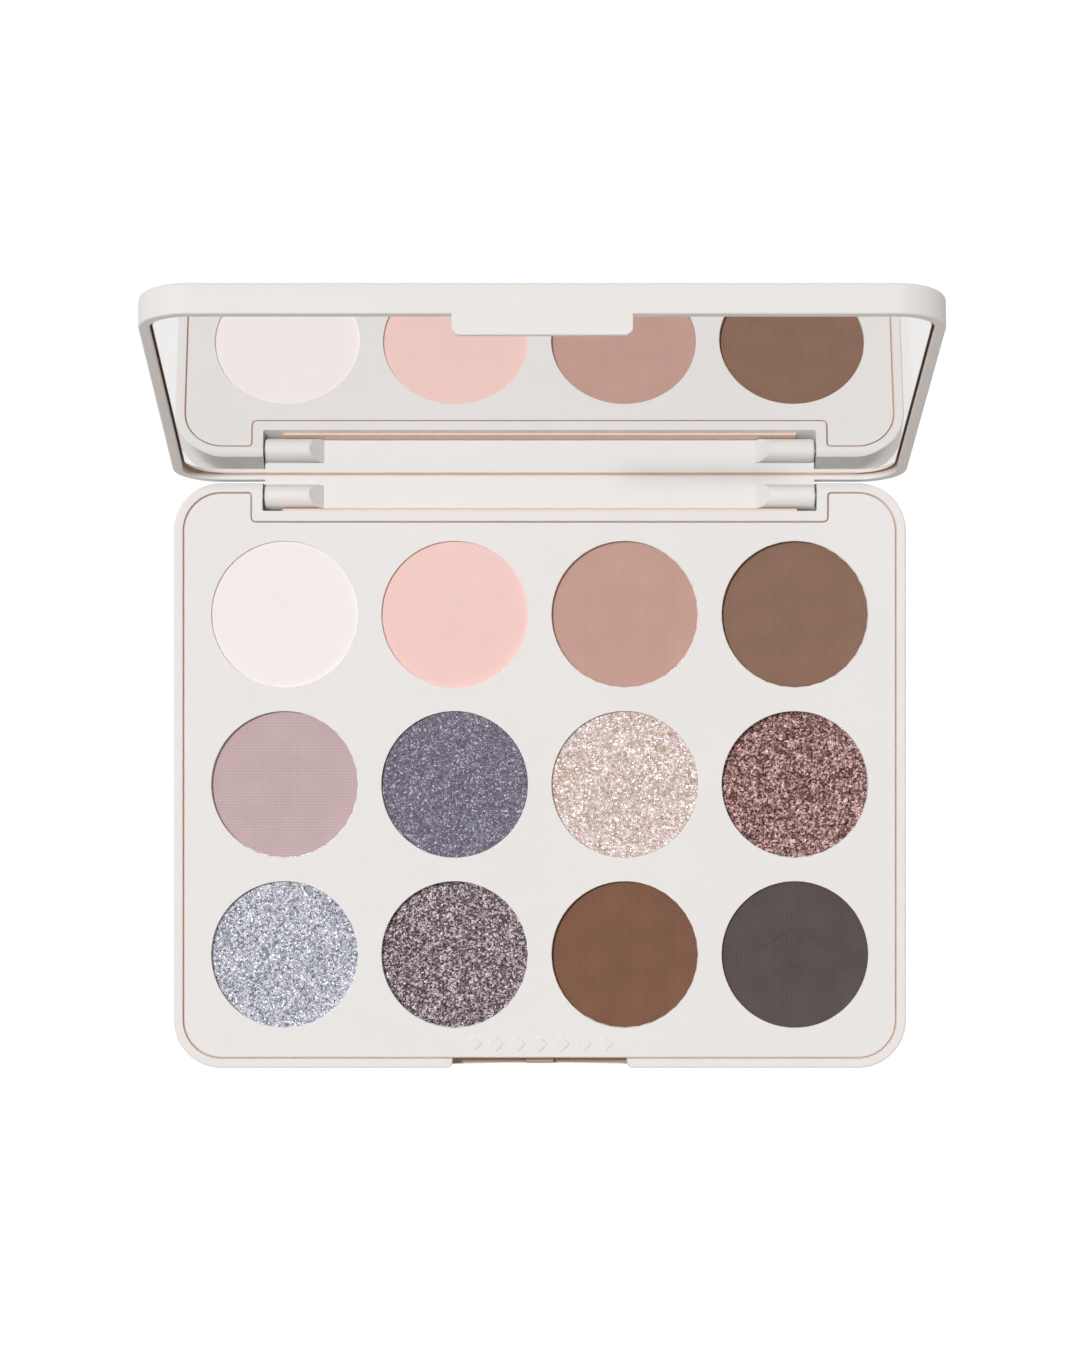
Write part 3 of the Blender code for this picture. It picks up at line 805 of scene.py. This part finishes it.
def seats_mesh():
    """The low round seats that the pans are glued to."""
    profile = [(0.0, FLOOR_TOP - SEAT_EDGE_RADIUS)] + rounded_high(SEAT_EDGE_RADIUS, SEAT_TOP)
    seat = lofted(circle(SEAT_RADIUS, ROUND_SIDES), profile)
    return joined([moved(seat, (x, y, 0.0)) for x, y in APERTURES])


def bores_cutter():
    """The bores for the hinge pins, through both side walls of the hinge notch."""
    span = NOTCH_HALF_WIDTH + NOTCH_WALL + OVERSHOOT
    mesh = across(lofted(circle(PIN_BORE_RADIUS, BORE_SIDES), [(0.0, -span), (0.0, span)]))
    mesh.transform(Matrix.Translation((0.0, AXIS.y, AXIS.z)))
    return mesh


def make_base():
    outer = rectangle(LEFT, RIGHT, FRONT, REAR, CORNER_RADIUS)
    low_edge = rounded_low(BASE_EDGE_RADIUS, BOTTOM, WIDE_FILLET_STEPS)
    body = lofted(outer, low_edge + rounded_high(EDGE_RADIUS, RIM))
    mesh = combined(body, [
        (tray_cutter(), "DIFFERENCE"), (seats_mesh(), "UNION"),
        (hinge_notch_cutter(), "DIFFERENCE"), (sill_mesh(), "UNION"),
        (rear_edge_cutter(), "DIFFERENCE"), (latch_notch_cutter(), "DIFFERENCE"),
        (recess_cutter(), "DIFFERENCE"), (bores_cutter(), "DIFFERENCE"),
    ])
    add_piece("base_shell_moulded", mesh, "base", [], ["base_shell"])


# ---------------------------------------------------------------- face plate


def lozenge(inset):
    """One raised mark of the plain row that decorates the plate's front strip."""
    across_x, across_y = (size - inset for size in MOTIF_SIZE)
    return [(across_x, 0.0), (0.0, across_y), (-across_x, 0.0), (0.0, -across_y)]


def plate_body():
    """The plate before it is hollowed. Its sides get the painted gap shade except in the latch's opening."""
    top = PLATE_HIGH.z
    profile = [(0.0, PLATE_LOW.z)] + rounded_high(INNER_EDGE_RADIUS, top)
    body = split_at(lofted(tray_outline(PLATE_GAP), profile), (-LATCH_HALF_WIDTH, LATCH_HALF_WIDTH))
    paint(body, PAINTED_GAP_SHADE_FINISH, lambda centre, normal: (
        PLATE_LOW.z < centre.z < top - INNER_EDGE_RADIUS
        and (abs(centre.x) > LATCH_HALF_WIDTH or centre.y > 0.0)
    ))
    return body


def apertures_cutter():
    top = PLATE_HIGH.z
    edge = flared_high(APERTURE_EDGE_RADIUS, top, APERTURE_EDGE_STEPS)
    hole = lofted(
        circle(APERTURE_RADIUS, APERTURE_SIDES), [(0.0, top - PLATE_THICKNESS - OVERSHOOT)] + edge
    )
    return joined([moved(hole, (x, y, 0.0)) for x, y in APERTURES])


def catch_mesh():
    """The small catch block at the front, below the closed tab."""
    half = CATCH_WIDTH / 2
    outline = rectangle(
        -half, half, FRONT + CATCH_TIP_INSET, FRONT + TRAY_INSET + SKIRT_THICKNESS,
        CATCH_CORNER_RADIUS,
    )
    low, high = CATCH_HEIGHTS
    edge = CATCH_EDGE_RADIUS
    mesh = lofted(outline, rounded_low(edge, low) + rounded_high(edge, high))
    # The whole catch wears the painted latch shade
    paint(mesh, SHADE_FINISH, every_face)
    return mesh


def motif_mesh():
    """The row of raised lozenges on the front strip."""
    top = PLATE_HIGH.z
    profile = [(0.0, top - MOTIF_SINK)] + rounded_high(MOTIF_EDGE_RADIUS, top + MOTIF_RISE)
    mark = lofted(lozenge, profile)
    return joined([
        moved(mark, ((i - (MOTIF_COUNT - 1) / 2) * MOTIF_PITCH, FRONT + MOTIF_FROM_FRONT, 0.0))
        for i in range(MOTIF_COUNT)
    ])


def make_face_plate():
    underside = lofted(
        tray_outline(PLATE_GAP + SKIRT_THICKNESS),
        [(0.0, PLATE_LOW.z - OVERSHOOT), (0.0, PLATE_HIGH.z - PLATE_THICKNESS)],
    )
    mesh = combined(plate_body(), [
        (underside, "DIFFERENCE"), (apertures_cutter(), "DIFFERENCE"),
        (catch_mesh(), "UNION"), (motif_mesh(), "UNION"),
    ])
    add_piece("face_plate_moulded", mesh, "base", [], ["face_plate"])


# ---------------------------------------------------------------- powders and pans


def disc_mesh(radius, low, high, edge, rings, sides, height):
    """A round cake with a softened edge, its face raised by height(x, y)."""
    shape = bmesh.new()
    flat = radius - edge
    radii = [flat * (i + 1) / rings for i in range(rings)]
    levels = [(r, 0.0) for r in radii]
    levels += [(flat + edge * math.sin(a), -edge * (1 - math.cos(a)))
               for a in (QUARTER * i / FILLET_STEPS for i in range(1, FILLET_STEPS + 1))]
    loops = []
    for r, drop in levels:
        loop = []
        for i in range(sides):
            x = r * math.cos(2 * math.pi * i / sides)
            y = r * math.sin(2 * math.pi * i / sides)
            fade = min(1.0, max(0.0, (radius - r) / (2 * edge)))
            loop.append(shape.verts.new((x, y, high + drop + fade * height(x, y))))
        loops.append(loop)
    loops.append([shape.verts.new((v.co.x, v.co.y, low)) for v in loops[-1]])
    centre = shape.verts.new((0.0, 0.0, high + height(0.0, 0.0)))
    for i in range(sides):
        shape.faces.new((centre, loops[0][i], loops[0][(i + 1) % sides]))
    for inner, outer in zip(loops, loops[1:]):
        for i in range(sides):
            j = (i + 1) % sides
            shape.faces.new((inner[i], outer[i], outer[j], inner[j]))
    shape.faces.new(loops[-1][::-1])
    return finished(shape, "disc")


def roughness_field(seed):
    """A function of place and scale whose pattern depends on the seed."""
    offset = Vector((seed * 7.3, seed * 3.1, 0.0))
    return lambda x, y, scale: noise.noise(Vector((x, y, 0.0)) * scale + offset)


def pressed_face(seed):
    """The slight unevenness of a pressed cake."""
    field = roughness_field(seed)
    return lambda x, y: 0.02 * MM * field(x, y, 160.0)


def glitter_face(seed):
    """The rough face of pressed glitter."""
    field = roughness_field(seed)
    return lambda x, y: 0.035 * MM * field(x, y, 2200.0) + 0.03 * MM * field(x, y, 300.0)


def marked_face(seed):
    """A pressed face with a plain sunken lozenge ring."""
    plain = pressed_face(seed)

    def height(x, y):
        size = abs(x) / MARK_REACH[0] + abs(y) / MARK_REACH[1]
        ring = smooth_step(size, *MARK_INNER) * (1 - smooth_step(size, *MARK_OUTER))
        return plain(x, y) - MARK_DEPTH * ring

    return height


def smooth_step(value, low, high):
    """0 below low, 1 above high, and a smooth ramp between."""
    t = min(1.0, max(0.0, (value - low) / (high - low)))
    return t * t * (3 - 2 * t)


def make_powders():
    """One cake for each powder node, just wider than the aperture so that no gap shows."""
    radius = APERTURE_RADIUS + POWDER_OVERLAP
    for node in frame["nodes"]:
        if not node.startswith("powder_"):
            continue
        low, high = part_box(node)
        centre = (low + high) / 2
        slot = SLOTS[node]
        shade = slot.split("_")[1]
        seed = len(shade) + 10 * centre.x / MM
        if shade in GLITTER:
            kind, face = "glitter", glitter_face(seed)
            material = glitter_powder("powder_" + shade, **GLITTER[shade])
        else:
            marked = shade == MARKED_SHADE
            kind, face = ("marked", marked_face(seed)) if marked else ("plain", pressed_face(seed))
            material = matte_powder("powder_" + shade, *MATTE[shade])
        mesh = disc_mesh(radius, low.z, high.z, POWDER_EDGE, *FACE_MESH[kind], face)
        obj = add_piece(node + "_pressed", mesh, "base", [material], [node])
        obj.matrix_world = Matrix.Translation((centre.x, centre.y, 0.0))


# ---------------------------------------------------------------- lid and mirror


def apron_mesh():
    """The lid's rear wall carried down into the notch, its lower rear corner rounded."""
    inner = LID_HIGH.y - RIM_WIDTH
    low = -BARREL_RADIUS
    start = math.atan2(low, math.sqrt(APRON_CORNER_SWEEP**2 - low**2))
    end = -math.acos(LID_HIGH.y / APRON_CORNER_SWEEP)
    corner = arc((0.0, 0.0), APRON_CORNER_SWEEP, start, end, SWEEP_STEPS)
    top = LID_RIM + APRON_SINK
    edge = APRON_TOE_RADIUS
    toe = arc((inner + edge, low + edge), edge, -math.pi, -QUARTER, FILLET_STEPS)
    points = toe + corner + [(LID_HIGH.y, top), (inner, top)]
    return across(lofted(fixed(points), [(0.0, -BARREL_OUTER_END), (0.0, BARREL_OUTER_END)]))


def barrel_mesh(side):
    """A hinge barrel with a rounded outer end, its inner end sloped at 45 degrees."""
    span = BARREL_OUTER_END - BARREL_INNER_END
    end = rounded_high(BARREL_END_RADIUS, span, BARREL_END_STEPS)
    mesh = across(lofted(circle(BARREL_RADIUS, ROUND_SIDES), [(0.0, 0.0)] + end))
    for vert in mesh.vertices:
        if vert.co.x < TOLERANCE:
            vert.co.x -= vert.co.y + BARREL_RADIUS
        vert.co.x = side * (vert.co.x + BARREL_INNER_END)
    if side < 0:
        mesh.flip_normals()
    return mesh


def tab_mesh():
    """The latch tab, hanging from the lid's front wall."""
    low = LID_RIM - TAB_LENGTH
    high = LID_RIM + TAB_SINK
    corners = [
        (-TAB_HALF_WIDTH, -high, SHARP_RADIUS), (TAB_HALF_WIDTH, -high, SHARP_RADIUS),
        (TAB_HALF_WIDTH, -low, TAB_CORNER_RADIUS), (-TAB_HALF_WIDTH, -low, TAB_CORNER_RADIUS),
    ]

    def outline(inset):
        return filleted(
            [
                (x - math.copysign(inset, x), y - math.copysign(inset, y + (high + low) / 2),
                 max(r - inset, LEAST_RADIUS))
                for x, y, r in corners
            ],
            TAB_CORNER_STEPS,
        )

    front = LID_LOW.y + TAB_INSET
    edge = TAB_EDGE_RADIUS
    mesh = lofted(outline, rounded_low(edge, front) + rounded_high(edge, front + TAB_THICKNESS))
    mesh.transform(Matrix(((1, 0, 0, 0), (0, 0, 1, 0), (0, -1, 0, 0), (0, 0, 0, 1))))
    return mesh


def pocket_cutter():
    """Hollows the lid. The pocket widens just in front of the mirror and from there on wears the painted gap shade
    round the mirror's edge.
    """
    outline = rectangle(
        LID_LOW.x + RIM_WIDTH, LID_HIGH.x - RIM_WIDTH,
        LID_LOW.y + RIM_WIDTH, LID_HIGH.y - RIM_WIDTH, CORNER_RADIUS - RIM_WIDTH,
    )
    groove = MIRROR_LOW.z - GROOVE_HEIGHT
    mesh = lofted(outline, flared_low(INNER_EDGE_RADIUS, LID_RIM) + [
        (0.0, groove), (-GROOVE_DEPTH, groove + GROOVE_SLOPE),
        (-GROOVE_DEPTH, MIRROR_HIGH.z + POCKET_BEHIND_MIRROR),
    ])
    paint(mesh, PAINTED_GAP_SHADE_FINISH, lambda centre, normal: centre.z > groove)
    return mesh


def make_lid():
    outer = rectangle(LID_LOW.x, LID_HIGH.x, LID_LOW.y, LID_HIGH.y, CORNER_RADIUS)
    high_edge = rounded_high(LID_EDGE_RADIUS, LID_HIGH.z, WIDE_FILLET_STEPS)
    body = lofted(outer, rounded_low(EDGE_RADIUS, LID_RIM) + high_edge)
    steps = [(pocket_cutter(), "DIFFERENCE"), (apron_mesh(), "UNION")]
    for side in (-1.0, 1.0):
        ends = sorted((side * PIN_INNER_END, side * (BARREL_OUTER_END + OVERSHOOT)))
        bore = lofted(circle(PIN_BORE_RADIUS, BORE_SIDES), [(0.0, ends[0]), (0.0, ends[1])])
        steps += [(barrel_mesh(side), "UNION"), (across(bore), "DIFFERENCE")]
    steps.append((tab_mesh(), "UNION"))
    mesh = combined(body, steps)
    mesh.transform(LID_TO_ROW)
    add_piece("lid_shell_moulded", mesh, "lid", [], ["lid_shell"])


def make_mirror():
    outline = rectangle(
        MIRROR_LOW.x, MIRROR_HIGH.x, MIRROR_LOW.y, MIRROR_HIGH.y, MIRROR_CORNER_RADIUS
    )
    mesh = lofted(outline, [
        (MIRROR_CHAMFER, MIRROR_LOW.z), (0.0, MIRROR_LOW.z + MIRROR_CHAMFER),
        (0.0, MIRROR_HIGH.z - MIRROR_CHAMFER), (MIRROR_CHAMFER, MIRROR_HIGH.z),
    ])
    paint(mesh, EDGE_FINISH, lambda centre, normal: normal.z > -0.95)
    mesh.transform(LID_TO_ROW)
    add_piece("mirror_glass", mesh, "lid", [MIRROR_FACE, MIRROR_EDGE], ["mirror"])


def finish_hidden_nodes():
    """The pans, pads, pins and foam keep their CAD shapes and get their own finishes."""
    for name, node in frame["nodes"].items():
        if node.hide_render:
            continue
        if name.startswith("pan_adhesive") or name == "mirror_adhesive":
            material = ADHESIVE
        elif name.startswith("hinge_pin"):
            material = PIN_METAL
        else:
            material = PAN_METAL
        node.data.materials.clear()
        node.data.materials.append(material)


# ---------------------------------------------------------------- stage, lights, camera


def make_stage():
    """The floor. The camera sees it as white, but its light on the palette is dimmer."""
    floor = bpy.data.objects.new("floor", bpy.data.meshes.new("floor"))
    shape = bmesh.new()
    bmesh.ops.create_grid(shape, x_segments=2, y_segments=2, size=FLOOR_SIZE)
    shape.to_mesh(floor.data)
    shape.free()
    bpy.context.scene.collection.objects.link(floor)
    floor.location.z = BOTTOM - FLOOR_CLEARANCE
    paper = bpy.data.materials.new("white_paper")
    paper.use_nodes = True
    shader = paper.node_tree.nodes["Principled BSDF"]
    shader.inputs["Base Color"].default_value = (*FLOOR_COLOUR, 1.0)
    shader.inputs["Roughness"].default_value = 0.9
    shader.inputs["Specular IOR Level"].default_value = 0.0
    shader.inputs["Emission Color"].default_value = (*FLOOR_GLOW_COLOUR, 1.0)
    path = paper.node_tree.nodes.new("ShaderNodeLightPath")
    glow = paper.node_tree.nodes.new("ShaderNodeMapRange")
    glow.inputs["To Min"].default_value = FLOOR_GLOW
    glow.inputs["To Max"].default_value = FLOOR_GLOW_TO_CAMERA
    paper.node_tree.links.new(path.outputs["Is Camera Ray"], glow.inputs["Value"])
    paper.node_tree.links.new(glow.outputs["Result"], shader.inputs["Emission Strength"])
    floor.data.materials.append(paper)


def make_world():
    """A plain studio: a dim warm dome, brightest above and behind, that shows white."""
    world = bpy.data.worlds.new("studio")
    bpy.context.scene.world = world
    world.use_nodes = True
    tree = world.node_tree
    background = tree.nodes["Background"]
    direction = tree.nodes.new("ShaderNodeTexCoord")
    lean = tree.nodes.new("ShaderNodeVectorMath")
    lean.operation = "DOT_PRODUCT"
    lean.inputs[1].default_value = DOME_LEAN
    tree.links.new(direction.outputs["Generated"], lean.inputs[0])
    dome = tree.nodes.new("ShaderNodeMapRange")
    dome.inputs["From Min"].default_value = -1.0
    dome.inputs["To Min"].default_value = DOME_DIMMEST
    dome.inputs["To Max"].default_value = DOME_BRIGHTEST
    tree.links.new(lean.outputs["Value"], dome.inputs["Value"])
    path = tree.nodes.new("ShaderNodeLightPath")
    mirrored = tree.nodes.new("ShaderNodeMath")
    mirrored.operation = "MULTIPLY"
    mirrored.inputs[1].default_value = DOME_IN_MIRROR
    tree.links.new(path.outputs["Is Glossy Ray"], mirrored.inputs[0])
    level = dome.outputs["Result"]
    for least in (mirrored.outputs["Value"], path.outputs["Is Camera Ray"]):
        brighter = tree.nodes.new("ShaderNodeMath")
        brighter.operation = "MAXIMUM"
        tree.links.new(level, brighter.inputs[0])
        tree.links.new(least, brighter.inputs[1])
        level = brighter.outputs["Value"]
    tree.links.new(level, background.inputs["Strength"])
    tint = tree.nodes.new("ShaderNodeMix")
    tint.data_type = "RGBA"
    tint.inputs["A"].default_value = (*DOME_COLOUR, 1.0)
    tint.inputs["B"].default_value = WHITE
    tree.links.new(path.outputs["Is Camera Ray"], tint.inputs["Factor"])
    tree.links.new(tint.outputs["Result"], background.inputs["Color"])


def make_key():
    """One large far light, high behind the palette's left rear corner."""
    data = bpy.data.lights.new("key", "SUN")
    data.energy = KEY_STRENGTH
    data.angle = KEY_ANGLE
    data.color = KEY_COLOUR
    light = bpy.data.objects.new("key", data)
    bpy.context.scene.collection.objects.link(light)
    light.rotation_mode = "QUATERNION"
    light.rotation_quaternion = Vector(KEY_DIRECTION).to_track_quat("Z", "Y")
    light.location = Vector(KEY_DIRECTION) * KEY_DISTANCE


def make_camera():
    """Straight down on the base, from where the reference view was taken."""
    data = bpy.data.cameras.new("camera")
    camera = bpy.data.objects.new("camera", data)
    bpy.context.scene.collection.objects.link(camera)
    data.sensor_width = SENSOR_WIDTH
    data.lens = LENS
    data.shift_x, data.shift_y = SHIFT
    data.clip_start, data.clip_end = CLIP
    centre = (BASE_LOW + BASE_HIGH) / 2
    camera.location = Vector((centre.x, centre.y, RIM)) + CAMERA_OFFSET
    bpy.context.scene.camera = camera


SLOTS = {row["node"]: row["material_slot"] for row in frame["record"]["subparts"]}
APERTURES = [
    tuple((sum(corner) / 2 for corner in zip(*(point.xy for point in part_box(node)))))
    for node in sorted(frame["nodes"]) if node.startswith("powder_")
]

make_camera()
make_base()
make_face_plate()
make_powders()
make_lid()
make_mirror()
finish_hidden_nodes()
make_stage()
make_world()
make_key()
bpy.context.scene.view_settings.view_transform = "Standard"
